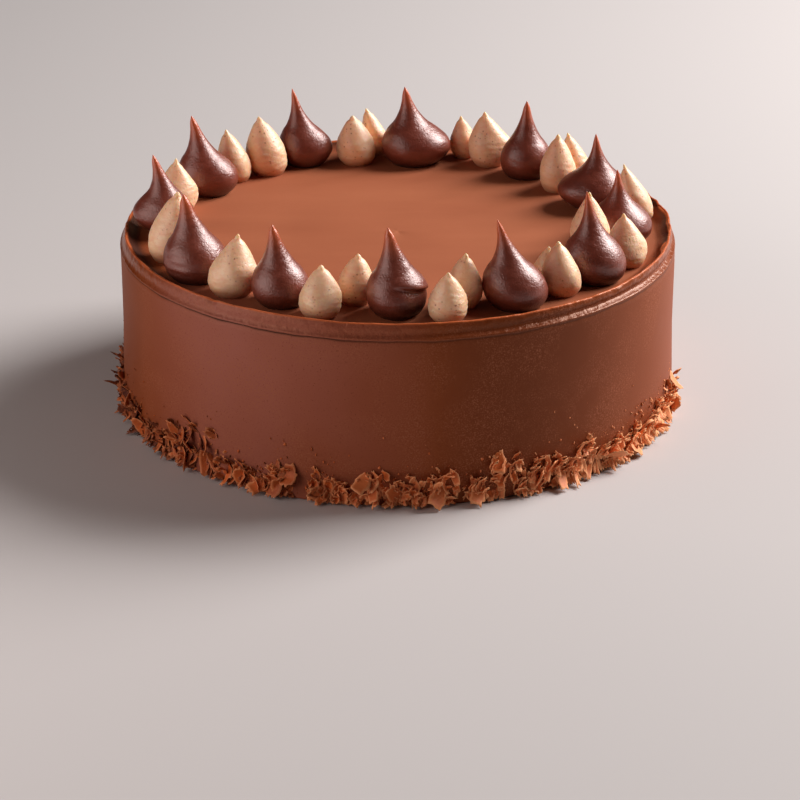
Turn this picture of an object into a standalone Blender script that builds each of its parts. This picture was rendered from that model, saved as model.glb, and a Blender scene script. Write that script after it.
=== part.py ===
"""A round chocolate cake, iced all over, with flakes pressed round its foot and piped drops on top.

Units are metres, written as millimetres times MM. The origin is the centre of the flat base,
+Z is up and -Y is the front. Azimuths are degrees about +Z, counted from +X, so 270 is the front.
"""
import math

import bmesh
import bpy
import numpy as np
from mathutils import Matrix, Vector

MM = 0.001
GAP = 0.3 * MM

# Iced body: a turned wall with a band and a lip round a flat top
BODY_RADIUS = 100 * MM
FOOT_FLARE = 1.0 * MM
TOP_HEIGHT = 62 * MM
RIDGE_HEIGHT = 60 * MM
LIP_HEIGHT = 65.2 * MM
LIP_INSET = 1.7 * MM
LIP_WIDTH = 0.9 * MM
SLOPE_WIDTH = 4.8 * MM
CREASE_DEPTH = 0.5 * MM
BODY_STEPS = 72

# Unevenness of the band and lip, as waves round the cake: waves a turn, size, start angle in degrees
LIP_WAVES = [(3, 0.22 * MM, 40), (7, 0.16 * MM, 200), (13, 0.10 * MM, 95)]

# Turned outlines as (share of the height, share of the widest radius), from the foot to the tip
DARK_OUTLINE = [(0, 0.72), (0.07, 0.90), (0.17, 1.0), (0.30, 0.97), (0.42, 0.78),
                (0.53, 0.50), (0.66, 0.28), (0.80, 0.14), (0.93, 0.06)]
PALE_OUTLINE = [(0, 0.70), (0.12, 0.91), (0.30, 1.0), (0.46, 0.92), (0.64, 0.65), (0.82, 0.33), (0.95, 0.11)]
DARK_STEPS = 14
PALE_STEPS = 12
LEAN_POWER = 1.4
LOBE_LEVEL = 0.28
LOBE_SPREAD = 0.24

# Twelve dark drops, one every 30 degrees from +X. Each has its turn off that spacing in degrees, then in
# millimetres its distance from the axis, widest radius, height and the lean of its tip towards +X. Its
# taper is the power of its outline's shares above the widest one: the lower it is, the fuller the neck.
# A lobe is a swelling of one flank, as a share of the radius, towards its own azimuth.
DARK_DROPS = [
    dict(turn=-5.5, ring=80, radius=11.5, height=25.5, lean=-1.5, taper=1.0),
    dict(turn=-10, ring=79, radius=11.5, height=27.5, lean=-1.5, taper=0.95, lobe=0.3, lobe_side=180),
    dict(turn=-8, ring=79.5, radius=9.8, height=29.0, lean=0.0, taper=0.8),
    dict(turn=-4.5, ring=79.5, radius=11.8, height=29.5, lean=-3.5, taper=0.85, lobe=0.26, lobe_side=0),
    dict(turn=-5, ring=85, radius=9.3, height=29.5, lean=-4.5, taper=0.9, lobe=0.2, lobe_side=0),
    dict(turn=-1, ring=83, radius=10.3, height=29.5, lean=-5.5, taper=0.8, lobe=0.15, lobe_side=0),
    dict(turn=0, ring=81.5, radius=9.3, height=28.5, lean=-6.0, taper=0.8, lobe=0.4, lobe_side=180),
    dict(turn=4, ring=83.5, radius=11.2, height=30.0, lean=-4.0, taper=0.75),
    dict(turn=1, ring=80.5, radius=9.9, height=27.5, lean=-3.0, taper=0.75),
    dict(turn=0.5, ring=80, radius=10.6, height=30.0, lean=-4.0, taper=0.75),
    dict(turn=-1, ring=83, radius=10.8, height=30.0, lean=-7.0, taper=0.9),
    dict(turn=-5.5, ring=83.5, radius=11.0, height=31.5, lean=-3.5, taper=0.95),
]

# Pale drops, by azimuth, in the gaps between the dark ones. The other values are as above.
PALE_DROPS = [
    dict(azimuth=7, ring=88, radius=6.4, height=21.5, lean=-5.5, taper=0.95),
    dict(azimuth=39.5, ring=88.5, radius=5.6, height=18.5, lean=-4.0, taper=0.8),
    dict(azimuth=37, ring=75.5, radius=7.1, height=21.5, lean=-0.3, taper=0.8),
    dict(azimuth=73, ring=89, radius=5.2, height=16.0, lean=-1.5, taper=0.8),
    dict(azimuth=65, ring=84, radius=7.7, height=20.5, lean=-2.0, taper=0.8, lobe=0.2, lobe_side=0,
         lobe_level=0.45),
    dict(azimuth=95, ring=89, radius=5.0, height=18.0, lean=-4.5, taper=0.7),
    dict(azimuth=101.5, ring=79.5, radius=7.6, height=18.5, lean=-1.5, taper=0.7),
    dict(azimuth=137, ring=84, radius=6.4, height=19.5, lean=-3.5, taper=0.8),
    dict(azimuth=127, ring=82, radius=7.7, height=22.0, lean=-3.5, taper=0.75),
    dict(azimuth=165, ring=84.5, radius=7.9, height=20.0, lean=0.5, taper=1.0),
    dict(azimuth=199.5, ring=85, radius=7.9, height=24.5, lean=3.5, taper=0.7),
    dict(azimuth=227.5, ring=83.5, radius=8.5, height=21.0, lean=2.5, taper=0.9),
    dict(azimuth=252.5, ring=86, radius=7.4, height=17.5, lean=0.5, taper=0.75),
    dict(azimuth=258.5, ring=71.5, radius=6.4, height=17.0, lean=1.0, taper=0.7),
    dict(azimuth=281, ring=88, radius=6.5, height=16.5, lean=0.0, taper=0.7),
    dict(azimuth=286.5, ring=77, radius=6.3, height=18.5, lean=1.0, taper=0.7),
    dict(azimuth=312, ring=83.5, radius=6.8, height=18.5, lean=-1.5, taper=0.75),
    dict(azimuth=316, ring=71.5, radius=5.0, height=12.0, lean=0.5, taper=0.75),
    dict(azimuth=337, ring=87, radius=7.5, height=18.5, lean=-1.5, taper=0.9),
    dict(azimuth=341.5, ring=72, radius=7.0, height=22.5, lean=-1.0, taper=0.9),
]

# Flake shapes. Lengths and widths in millimetres and leans off the wall in degrees are (least, most), the
# bend along the length is in degrees, and each row along the length is as wide as its share of the width.
FLAKE_SHAPES = {
    "shard": dict(lengths=(6.0, 9.5), widths=(4.5, 7.0), leans=(18, 50), bend=45, shares=(0.75, 1.0, 0.5)),
    "disc": dict(lengths=(7.5, 8.5), widths=(7.0, 8.5), leans=(15, 35), bend=70, shares=(0.5, 1.0, 1.0, 0.5)),
    "sliver": dict(lengths=(7.0, 12.0), widths=(1.7, 2.6), leans=(15, 50), bend=60, shares=(0.4, 1.0, 0.3)),
    "chip": dict(lengths=(2.8, 4.5), widths=(2.2, 3.8), leans=(20, 70), bend=30, shares=(0.8, 0.9)),
}
FLAKE_THICKNESS = 0.65 * MM
FLAKE_DEPTH = 0.9 * MM
FLAKE_FLOOR = 0.4 * MM
FLAKE_MOST_ROLL = 60
TOP_OUTWARD_SHARE = 0.6
LOW_FLAKE_POWER = 1.4
FLAKE_SEED = 11

# Clumps of flakes on the front half: azimuth, half spread in degrees, height in millimetres and the
# flakes in it, s for a shard, d for a disc, l for a sliver and c for a chip
FRONT_CLUMPS = [
    (181, 3, 20, "slc"), (187, 3, 16, "lsc"), (194, 4, 15, "slcl"), (201, 4, 13, "scls"), (208, 4, 12, "slc"),
    (215, 3, 13, "lsl"), (221, 3, 17, "slcl"), (228, 4, 22, "lslsc"), (236, 4, 13, "scsl"),
    (242, 3, 10, "scl"),
    (247, 2, 14, "ddd"), (255, 2, 14, "slc"), (260, 2, 6, "cl"), (265, 3, 15, "ssc"), (270, 2, 8, "cs"),
    (275, 3, 13, "lsc"), (279, 2, 15, "sl"), (285, 2, 11, "slc"), (291, 3, 19, "ccsc"), (296, 2, 10, "cs"),
    (300, 3, 15, "lsc"), (305, 2, 9, "sl"), (309, 3, 18, "ll"), (315, 3, 12, "lsc"), (320, 3, 13, "slc"),
    (326, 3, 14, "sll"), (332, 3, 14, "lsc"), (338, 3, 15, "lscl"), (345, 4, 16, "sslc"), (352, 3, 8, "lc"),
]
FLAKE_LETTERS = {"s": "shard", "d": "disc", "l": "sliver", "c": "chip"}

# Clumps on the back half follow the front's pattern, evenly spaced and then shaken
BACK_CLUMP_COUNT = 12
BACK_CLUMP_SPREAD = 4
BACK_START = 14
BACK_END = 175
BACK_CLUMP_MIXES = ["slcs", "lscl", "sdlc", "sslc"]

COLOURS = {"icing": (0.19, 0.060, 0.026, 1), "dark": (0.095, 0.028, 0.018, 1), "pale": (0.60, 0.31, 0.17, 1)}
ROUGHNESS = {"icing": 0.5, "dark": 0.35, "pale": 0.6}


def clear_scene():
    """Remove the objects that the file opened with."""
    for old in list(bpy.data.objects):
        bpy.data.objects.remove(old, do_unlink=True)


def make_material(name):
    """A plain Principled material in the part's own colour."""
    material = bpy.data.materials.new(name)
    material.use_nodes = True
    shader = material.node_tree.nodes["Principled BSDF"]
    shader.inputs["Base Color"].default_value = COLOURS[name]
    shader.inputs["Roughness"].default_value = ROUGHNESS[name]
    shader.inputs["Metallic"].default_value = 0
    return material


def make_object(name, mesh, collection, material=None):
    """Put a mesh in the scene as a named object, shaded smooth."""
    part = bpy.data.objects.new(name, mesh)
    collection.objects.link(part)
    if material:
        mesh.materials.append(material)
    mesh.shade_smooth()
    mesh.set_sharp_from_angle(angle=math.radians(50))
    return part


def evaluated_mesh(part):
    """A copy of an object's mesh with its modifiers applied."""
    bpy.context.view_layer.update()
    depsgraph = bpy.context.evaluated_depsgraph_get()
    return bpy.data.meshes.new_from_object(part.evaluated_get(depsgraph))


def turned_mesh(name, profile, steps, collection):
    """Turn a profile of (radius, height) points about Z, from its top point down the outer side."""
    line = bpy.data.meshes.new(name + "_profile")
    edges = [(i, i + 1) for i in range(len(profile) - 1)]
    line.from_pydata([(r, 0, z) for r, z in profile], edges, [])
    guide = bpy.data.objects.new(name + "_profile", line)
    collection.objects.link(guide)
    screw = guide.modifiers.new("turn", "SCREW")
    screw.axis = "Z"
    screw.steps = steps
    screw.render_steps = steps
    screw.use_merge_vertices = True
    screw.merge_threshold = 0.00001
    mesh = evaluated_mesh(guide)
    bpy.data.objects.remove(guide, do_unlink=True)
    return mesh


def polar(azimuth, radius, height):
    """The point at an azimuth in degrees, a distance from the axis and a height."""
    angle = math.radians(azimuth)
    return Vector((radius * math.cos(angle), radius * math.sin(angle), height))


def body_profile():
    """The body's outline: flat top, concave slope up to the lip, band, ridge, crease, wall and base."""
    lip_outer = BODY_RADIUS - LIP_INSET
    lip_inner = lip_outer - LIP_WIDTH
    slope_foot = lip_inner - SLOPE_WIDTH
    rise = LIP_HEIGHT - TOP_HEIGHT
    slope = [(slope_foot + share * SLOPE_WIDTH, TOP_HEIGHT + share ** 2 * rise) for share in (0, 0.5, 0.8)]
    edge = [(lip_inner, LIP_HEIGHT), (lip_outer, LIP_HEIGHT), (lip_outer + 0.4 * MM, LIP_HEIGHT - 0.8 * MM)]
    ridge = [(BODY_RADIUS, RIDGE_HEIGHT + 0.4 * MM), (BODY_RADIUS, RIDGE_HEIGHT)]
    wall = [(BODY_RADIUS - CREASE_DEPTH, RIDGE_HEIGHT - 0.8 * MM), (BODY_RADIUS, TOP_HEIGHT / 2),
            (BODY_RADIUS + FOOT_FLARE, 0)]
    return [(0, TOP_HEIGHT)] + slope + edge + ridge + wall + [(0, 0)]


def lip_wave(angle):
    """How far the lip is pushed up and out at an angle: a sum of waves round the cake."""
    return sum(size * math.sin(count * angle + math.radians(start)) for count, size, start in LIP_WAVES)


def roughen_lip(mesh):
    """Move the band and the lip by the wave, fully at the lip's height and not at all at the ridge."""
    for vertex in mesh.vertices:
        share = (vertex.co.z - RIDGE_HEIGHT) / (LIP_HEIGHT - RIDGE_HEIGHT)
        radius = vertex.co.xy.length
        if share > 0 and radius > BODY_RADIUS - LIP_INSET - LIP_WIDTH - SLOPE_WIDTH / 2:
            wave = lip_wave(math.atan2(vertex.co.y, vertex.co.x)) * share
            vertex.co.xy *= (radius + wave) / radius
            vertex.co.z += wave


def wall_radius(height):
    """The wall's radius at a height, flaring straight out to the base in its lower half."""
    share = max(0, 1 - height / (TOP_HEIGHT / 2))
    return BODY_RADIUS + FOOT_FLARE * share


def flake_grid(shape, length, width):
    """A flake's bent surface: rows along its length, each as wide as its share, rolled into an arc."""
    shares = FLAKE_SHAPES[shape]["shares"]
    bend = math.radians(FLAKE_SHAPES[shape]["bend"])
    grid = bmesh.new()
    bmesh.ops.create_grid(grid, x_segments=len(shares) - 1, y_segments=1, size=0.5)
    for vertex in grid.verts:
        row = round((vertex.co.x + 0.5) * (len(shares) - 1))
        along = vertex.co.x * bend
        across = vertex.co.y * width * shares[row]
        arc_radius = length / bend
        vertex.co = (arc_radius * math.sin(along), across, arc_radius * (1 - math.cos(along)))
    mesh = bpy.data.meshes.new("flake_" + shape)
    grid.to_mesh(mesh)
    grid.free()
    return mesh


def flake_clumps(rng):
    """Every clump round the foot, with the back half's worked out from the front's pattern."""
    clumps = list(FRONT_CLUMPS)
    for number in range(BACK_CLUMP_COUNT):
        share = (number + 0.5) / BACK_CLUMP_COUNT
        azimuth = BACK_START + (BACK_END - BACK_START) * share + rng.uniform(-2, 2)
        mix = BACK_CLUMP_MIXES[number % len(BACK_CLUMP_MIXES)]
        clumps.append((azimuth, BACK_CLUMP_SPREAD, rng.uniform(10, 19), mix))
    return clumps


def flake_turn(azimuth, roll, lean, side_lean):
    """The turn of a flake that stands on the wall: rolled in the wall's plane, then leaned off it."""
    outward = polar(azimuth, 1, 0)
    along = Vector((-outward.y, outward.x, 0))
    on_wall = Matrix((Vector((0, 0, 1)), along, outward)).transposed()
    rolled = on_wall @ Matrix.Rotation(math.radians(roll), 3, "Z")
    leaned = rolled @ Matrix.Rotation(math.radians(lean), 3, "Y")
    return leaned @ Matrix.Rotation(math.radians(side_lean), 3, "X")


def place_flake(mesh, turn, azimuth, height):
    """Turn a flake's points and move them so that its inner edge is sunk in the wall."""
    points = [turn @ vertex.co for vertex in mesh.vertices]
    outward = polar(azimuth, 1, 0)
    depths = [point.dot(outward) for point in points]
    spread = max(depths) - min(depths)
    sunk = min(FLAKE_DEPTH, 0.45 * (spread + FLAKE_THICKNESS))
    lowest = min(point.z for point in points)
    height = max(height, FLAKE_FLOOR + FLAKE_THICKNESS / 2 - lowest)
    shift = outward * (wall_radius(height) - sunk - min(depths) + FLAKE_THICKNESS / 2)
    for vertex, point in zip(mesh.vertices, points):
        vertex.co = point + shift + Vector((0, 0, height))


def between(limits, draw):
    """The value at a draw from 0 to 1 between two limits."""
    return limits[0] + draw * (limits[1] - limits[0])


def add_flake(shape, clump, rng, collection):
    """One flake of a clump: its size, place and turn are seven draws."""
    azimuth, spread, height = clump
    size = FLAKE_SHAPES[shape]
    draws = rng.random(7)
    length = between(size["lengths"], draws[0]) * MM
    width = between(size["widths"], draws[1]) * MM
    place = azimuth + between((-spread, spread), draws[2])
    centre = draws[3] ** LOW_FLAKE_POWER * max(height * MM - length / 2, 2 * MM)
    side = -1 if draws[5] < TOP_OUTWARD_SHARE else 1
    roll = between((-FLAKE_MOST_ROLL, FLAKE_MOST_ROLL), draws[6])
    turn = flake_turn(place, roll, side * between(size["leans"], draws[4]), 50 * (draws[5] - 0.5))
    mesh = flake_grid(shape, length, width)
    place_flake(mesh, turn, place, centre)
    flake = make_object("flake", mesh, collection)
    shell = flake.modifiers.new("thickness", "SOLIDIFY")
    shell.thickness = FLAKE_THICKNESS
    shell.offset = 0
    flake.hide_render = True
    flake.display_type = "WIRE"


def make_flakes(collection):
    """All the flakes, as thin solids that reach into the wall."""
    rng = np.random.default_rng(FLAKE_SEED)
    for azimuth, spread, height, letters in flake_clumps(rng):
        for letter in letters:
            add_flake(FLAKE_LETTERS[letter], (azimuth, spread, height), rng, collection)


def keep_largest_shell(mesh):
    """Drop what the union left apart from the main shell: loose scraps and sealed hollows."""
    shell_mesh = bmesh.new()
    shell_mesh.from_mesh(mesh)
    left = set(shell_mesh.verts)
    shells = []
    while left:
        reached = [left.pop()]
        for vertex in reached:
            near = [edge.other_vert(vertex) for edge in vertex.link_edges]
            fresh = [other for other in near if other in left]
            left.difference_update(fresh)
            reached.extend(fresh)
        shells.append(reached)
    shells.sort(key=len)
    for shell in shells[:-1]:
        bmesh.ops.delete(shell_mesh, geom=shell, context="VERTS")
    shell_mesh.to_mesh(mesh)
    shell_mesh.free()


def make_cake(collection, flake_collection, material):
    """The iced body with the flakes fused to it in one union."""
    body_mesh = turned_mesh("cake", body_profile(), BODY_STEPS, collection)
    roughen_lip(body_mesh)
    body = make_object("cake_body", body_mesh, collection)
    make_flakes(flake_collection)
    union = body.modifiers.new("flakes", "BOOLEAN")
    union.operation = "UNION"
    union.operand_type = "COLLECTION"
    union.collection = flake_collection
    union.solver = "EXACT"
    fused = evaluated_mesh(body)
    bpy.data.objects.remove(body, do_unlink=True)
    for flake in list(flake_collection.objects):
        bpy.data.objects.remove(flake, do_unlink=True)
    keep_largest_shell(fused)
    fused.materials.clear()
    make_object("cake", fused, collection, material)


def drop_profile(outline, drop):
    """A drop's outline from its tip down its outer side to the centre of its foot."""
    radius, height = drop["radius"] * MM, drop["height"] * MM
    widest = max(outline, key=lambda point: point[1])[0]
    powers = [drop["taper"] if level > widest else 1 for level, share in outline]
    side = [(share ** power * radius, level * height) for (level, share), power in zip(outline, powers)]
    return [(0, height)] + side[::-1] + [(0, 0)]


def shape_drop(mesh, drop):
    """Swell one flank by the lobe and lean the tip along X, more and more towards the top."""
    height = drop["height"] * MM
    lobe_side = math.radians(drop.get("lobe_side", 0))
    for vertex in mesh.vertices:
        level = vertex.co.z / height
        facing = max(0, math.cos(math.atan2(vertex.co.y, vertex.co.x) - lobe_side))
        swelling = math.exp(-((level - drop.get("lobe_level", LOBE_LEVEL)) / LOBE_SPREAD) ** 2)
        foot_hold = min(1, level / 0.1)
        vertex.co.xy *= 1 + drop.get("lobe", 0) * facing ** 2 * swelling * foot_hold
        vertex.co.x += drop["lean"] * MM * level ** LEAN_POWER


def make_drop(name, drop, azimuth, outline, steps, collection, material):
    """One piped drop, standing on the flat top."""
    profile = drop_profile(outline, drop)
    mesh = turned_mesh(name, profile, steps, collection)
    shape_drop(mesh, drop)
    part = make_object(name, mesh, collection, material)
    part.location = polar(azimuth, drop["ring"] * MM, TOP_HEIGHT + GAP)


def make_drops(collection, dark, pale):
    """The ring of drops: dark ones evenly spaced, pale ones in their gaps."""
    for number, drop in enumerate(DARK_DROPS):
        azimuth = 30 * number + drop["turn"]
        make_drop(f"dark_drop_{number + 1:02d}", drop, azimuth, DARK_OUTLINE, DARK_STEPS, collection, dark)
    for number, drop in enumerate(PALE_DROPS):
        name = f"pale_drop_{number + 1:02d}"
        make_drop(name, drop, drop["azimuth"], PALE_OUTLINE, PALE_STEPS, collection, pale)


def main():
    clear_scene()
    parts = bpy.data.collections.new("chocolate_cake")
    flakes = bpy.data.collections.new("flakes")
    bpy.context.scene.collection.children.link(parts)
    bpy.context.scene.collection.children.link(flakes)
    make_cake(parts, flakes, make_material("icing"))
    make_drops(parts, make_material("dark"), make_material("pale"))


main()
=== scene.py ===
"""A round chocolate cake with piped drops and chocolate flakes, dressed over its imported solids.

Lengths are metres, written as millimetres times MM. The cake stands on z = 0 round the Z axis, and its
shown side faces -Y. Azimuths are degrees about +Z from +X, so 270 is the front.
"""
import math

import bpy
import numpy as np
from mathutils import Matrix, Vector


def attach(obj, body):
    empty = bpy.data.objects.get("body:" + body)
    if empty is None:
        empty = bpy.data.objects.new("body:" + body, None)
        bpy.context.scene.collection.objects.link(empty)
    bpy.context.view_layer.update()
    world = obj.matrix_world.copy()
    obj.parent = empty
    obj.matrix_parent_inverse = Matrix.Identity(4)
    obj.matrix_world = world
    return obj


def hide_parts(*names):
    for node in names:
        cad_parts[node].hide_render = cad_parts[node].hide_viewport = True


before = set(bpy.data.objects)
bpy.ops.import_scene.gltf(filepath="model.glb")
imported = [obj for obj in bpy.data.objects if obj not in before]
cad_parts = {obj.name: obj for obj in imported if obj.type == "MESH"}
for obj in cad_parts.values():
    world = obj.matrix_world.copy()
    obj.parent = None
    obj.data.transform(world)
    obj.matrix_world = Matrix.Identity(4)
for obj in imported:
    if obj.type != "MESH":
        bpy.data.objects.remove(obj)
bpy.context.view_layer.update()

MM = 0.001
ROOT = "root"

# Iced body, as the solid has it
BODY_RADIUS = 100 * MM
FOOT_FLARE = 1.0 * MM
TOP_HEIGHT = 62 * MM
RIDGE_HEIGHT = 60 * MM
LIP_HEIGHT = 65.2 * MM
LIP_INSET = 1.7 * MM
LIP_WIDTH = 0.9 * MM
SLOPE_WIDTH = 4.8 * MM
LIP_OUTER = BODY_RADIUS - LIP_INSET
LIP_INNER = LIP_OUTER - LIP_WIDTH
SLOPE_FOOT = LIP_INNER - SLOPE_WIDTH
LIP_ROUND = 0.35 * MM
RIDGE_DROP = 2.6 * MM
CREASE_DEPTH = 0.5 * MM
CREASE_PROFILE = [(0, 0), (0.15, 0.12), (0.32, 1.0), (0.5, 0.75), (0.8, 0.42), (1.0, 0.3)]

# Waves over the body, each (waves a turn, waves up the side, size, start in degrees)
TOP_SWELL = [(2, 1.3, 0.10 * MM, 30), (3, 2.1, 0.06 * MM, 140), (1, 3.4, 0.05 * MM, 260)]
SLOPE_LUMPS = [(31, 0.5, 0.16 * MM, 10), (19, 0.9, 0.14 * MM, 80)]
LIP_WAVES = [(3, 0, 0.22 * MM, 40), (7, 0, 0.16 * MM, 200), (13, 0, 0.10 * MM, 95)]
RIM_WAVES = [(29, 0.4, 0.05 * MM, 0), (43, -0.9, 0.05 * MM, 50), (67, 1.3, 0.04 * MM, 110),
             (89, -1.7, 0.03 * MM, 20), (127, 2.2, 0.02 * MM, 240)]
RIDGE_KINKS = [(23, 0, 0.14 * MM, 0), (41, 0, 0.09 * MM, 70), (83, 0, 0.05 * MM, 10)]
WALL_HOLLOWS = [(5, 0.4, 0.10 * MM, 20), (9, 0.9, 0.07 * MM, 130), (17, 0.3, 0.03 * MM, 60)]

# Places round the body, each an azimuth and a spread in degrees
LUMPY_SLOPE = (2, 30)
RIGHT_COVE = (322, 42)
LEFT_COVE = (215, 20)
DEEP_CREASE = (228, 38)
ROUGH_RIM = (350, 45)
RIM_BULGE = (8, 6)
RIM_DIP = (352, 4)
LIP_NICK = (230.5, 1.1)
# These places hold painted light and shade: shade in the crease, at the top's edge and on the slope, and a
# sheen and shade on the wall
SHADED_CREASE = (232, 46)
SHADED_TOP = (200, 30)
SHADED_SLOPE = (196, 34)
WALL_SHEEN = (243, 36)
FRONT_SHADE = (296, 27)
LEFT_SHADE = (200, 18)

# Fineness of the body
BODY_COLUMNS = 720
TOP_ROWS = 26
SLOPE_ROWS = 12
LIP_ROWS = 8
BAND_ROWS = 22
RIDGE_ROWS = 12
WALL_ROWS = 34

# Piped drops: how the solids lean, how fine the pieces are, and what the pieces add to the solids
LEAN_POWER = 1.4
DROP_ROWS = 56
DROP_COLUMNS = 48
FOOT_SINK = 0.2 * MM
TIP_RADIUS = 0.12 * MM
TIP_REACH = 0.3 * MM
NIB_LEVEL = 0.93
NIB_SPREAD = 0.05
# Where the painted glow of light through a drop's tip starts, as a share of its height
TIP_GLOW_START = 0.66
# Where the painted shade at a drop's foot ends, as a share of its height
FOOT_SHADE_TOP = 0.22
WRINKLE_TOP = 0.78
FOLD_EDGE = 0.007
DROP_FAMILIES = {
    "dark": dict(count=12, wobble=0.012, wrinkle=0.020 * MM, nib=0),
    "pale": dict(count=20, wobble=0.030, wrinkle=0.030 * MM, nib=0.34),
}

# Folds in a drop's flank: levels are shares of its height, and side and round are degrees
FOLDS = {
    "dark_drop_10": [dict(level=0.335, side=325, depth=3.0 * MM, fade=0.7, slant=-0.08, round=48)],
    "dark_drop_08": [
        dict(level=0.36, side=238, depth=0.75 * MM, fade=0.05, slant=0.02, round=32),
        dict(level=0.27, side=242, depth=0.80 * MM, fade=0.05, slant=-0.01, round=36),
        dict(level=0.17, side=236, depth=0.65 * MM, fade=0.04, slant=0.01, round=30),
    ],
}

# Flakes fused to the solid: the same clumps, shapes, seed and order of draws
FLAKE_SHAPES = {
    "shard": dict(lengths=(6.0, 9.5), widths=(4.5, 7.0), leans=(18, 50), bend=45, shares=(0.75, 1.0, 0.5)),
    "disc": dict(lengths=(7.5, 8.5), widths=(7.0, 8.5), leans=(15, 35), bend=70, shares=(0.5, 1.0, 1.0, 0.5)),
    "sliver": dict(lengths=(7.0, 12.0), widths=(1.7, 2.6), leans=(15, 50), bend=60, shares=(0.4, 1.0, 0.3)),
    "chip": dict(lengths=(2.8, 4.5), widths=(2.2, 3.8), leans=(20, 70), bend=30, shares=(0.8, 0.9)),
}
FLAKE_SOLID_THICKNESS = 0.65 * MM
FLAKE_DEPTH = 0.9 * MM
FLAKE_DEPTH_SHARE = 0.45
FLAKE_FLOOR = 0.4 * MM
FLAKE_MOST_ROLL = 60
TOP_OUTWARD_SHARE = 0.6
LOW_FLAKE_POWER = 1.4
FLAKE_SIDE_LEAN = 50
FLAKE_SEED = 11

# Clumps of flakes at the front, each (azimuth, spread in degrees, height in millimetres, shapes)
FRONT_CLUMPS = [
    (181, 3, 20, "slc"), (187, 3, 16, "lsc"), (194, 4, 15, "slcl"), (201, 4, 13, "scls"), (208, 4, 12, "slc"),
    (215, 3, 13, "lsl"), (221, 3, 17, "slcl"), (228, 4, 22, "lslsc"), (236, 4, 13, "scsl"),
    (242, 3, 10, "scl"), (247, 2, 14, "ddd"), (255, 2, 14, "slc"), (260, 2, 6, "cl"), (265, 3, 15, "ssc"),
    (270, 2, 8, "cs"), (275, 3, 13, "lsc"), (279, 2, 15, "sl"), (285, 2, 11, "slc"), (291, 3, 19, "ccsc"),
    (296, 2, 10, "cs"), (300, 3, 15, "lsc"), (305, 2, 9, "sl"), (309, 3, 18, "ll"), (315, 3, 12, "lsc"),
    (320, 3, 13, "slc"), (326, 3, 14, "sll"), (332, 3, 14, "lsc"), (338, 3, 15, "lscl"),
    (345, 4, 16, "sslc"), (352, 3, 8, "lc"),
]
FLAKE_LETTERS = {"s": "shard", "d": "disc", "l": "sliver", "c": "chip"}
BACK_CLUMP_COUNT = 12
BACK_CLUMP_SPREAD = 4
BACK_START = 14
BACK_END = 175
BACK_CLUMP_MIXES = ["slcs", "lscl", "sdlc", "sslc"]

# Rows and columns of each fine flake, its real thickness, its torn rim, and its tone with painted light from
# the right
FLAKE_GRIDS = {"shard": (9, 6), "disc": (10, 8), "sliver": (9, 4), "chip": (6, 5)}
FLAKE_THICKNESS = 0.45 * MM
FLAKE_TORN = 0.09
CRINKLE = 0.09 * MM
RIM_THINNESS = 0.45
TONE_MIDDLE = 0.60
# Painted light: flakes lighter towards the right and darker towards the left
SIDE_LIGHT_TO_RIGHT = 0.52
TONE_SPREAD = 0.5

# Small shavings that fill the clumps out: the count in a clump and the sizes in millimetres. Further on,
# low draws them down, wide spreads them, torn breaks their rims, roll turns them by up to so many
# degrees, and more_right changes the count at the right front.
SHAVING_KINDS = {
    "fragment": dict(count=9, lengths=(3.0, 6.5), widths=(2.0, 4.4), leans=(6, 38), bend=45,
                     shares=(0.6, 1.0, 0.9, 0.4), grid=(7, 6), low=1.3, wide=0.95, torn=0.13, roll=60,
                     more_right=-0.75),
    "small_chip": dict(count=12, lengths=(1.2, 3.0), widths=(0.8, 2.2), leans=(10, 70), bend=40,
                       shares=(0.7, 1.0, 0.6), grid=(4, 4), low=1.4, wide=1.15, torn=0.12, roll=90,
                       more_right=-0.6),
    "thread": dict(count=8, lengths=(3.0, 7.5), widths=(0.5, 1.2), leans=(4, 26), bend=75,
                   shares=(0.5, 1.0, 0.5), grid=(7, 4), low=1.2, wide=1.05, torn=0.08, roll=50,
                   more_right=-0.5),
    "strip": dict(count=6, lengths=(7.0, 13.0), widths=(1.8, 3.6), leans=(4, 16), bend=120,
                  shares=(0.6, 1.0, 0.9, 0.5), grid=(10, 5), low=0.8, wide=0.9, torn=0.09, roll=34,
                  more_right=0.8),
}
SHAVING_THICKNESS = 0.3 * MM
SHAVING_SIDE_LEAN = 90
SHAVING_SEED = 23
RIGHT_FRONT = (325, 38)

# Lower clumps of shavings in the gaps at the back, and crumbs
LOW_CLUMP_SHARE = 0.7
CRUMBS_IN_CLUMP = 34
CRUMB_SIZES = (0.15, 0.55)
CRUMB_ROWS = 3
CRUMB_COLUMNS = 5
CRUMB_LUMPS = 0.25
CRUMB_SEED = 31

# Camera, at the photo's viewing angle
CAMERA_PLACE = (0.0002, -0.9312, 0.4009)
CAMERA_PITCH = 23.54
CAMERA_YAW = 0.04
CAMERA_LENS = 123.05

# Floor, sky and soft lights
FLOOR_SIZE = 8.0
SKY_COLOUR = (1.0, 0.92, 0.90, 1)
SKY_STRENGTH = 0.02
LIGHTS = {
    "key": dict(azimuth=25, elevation=35, distance=1.5, size=0.85, power=43, tint=(1.0, 0.96, 0.94)),
    "fill": dict(azimuth=208, elevation=11, distance=0.50, size=0.50, power=1.5, tint=(1.0, 0.87, 0.82)),
}

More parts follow.
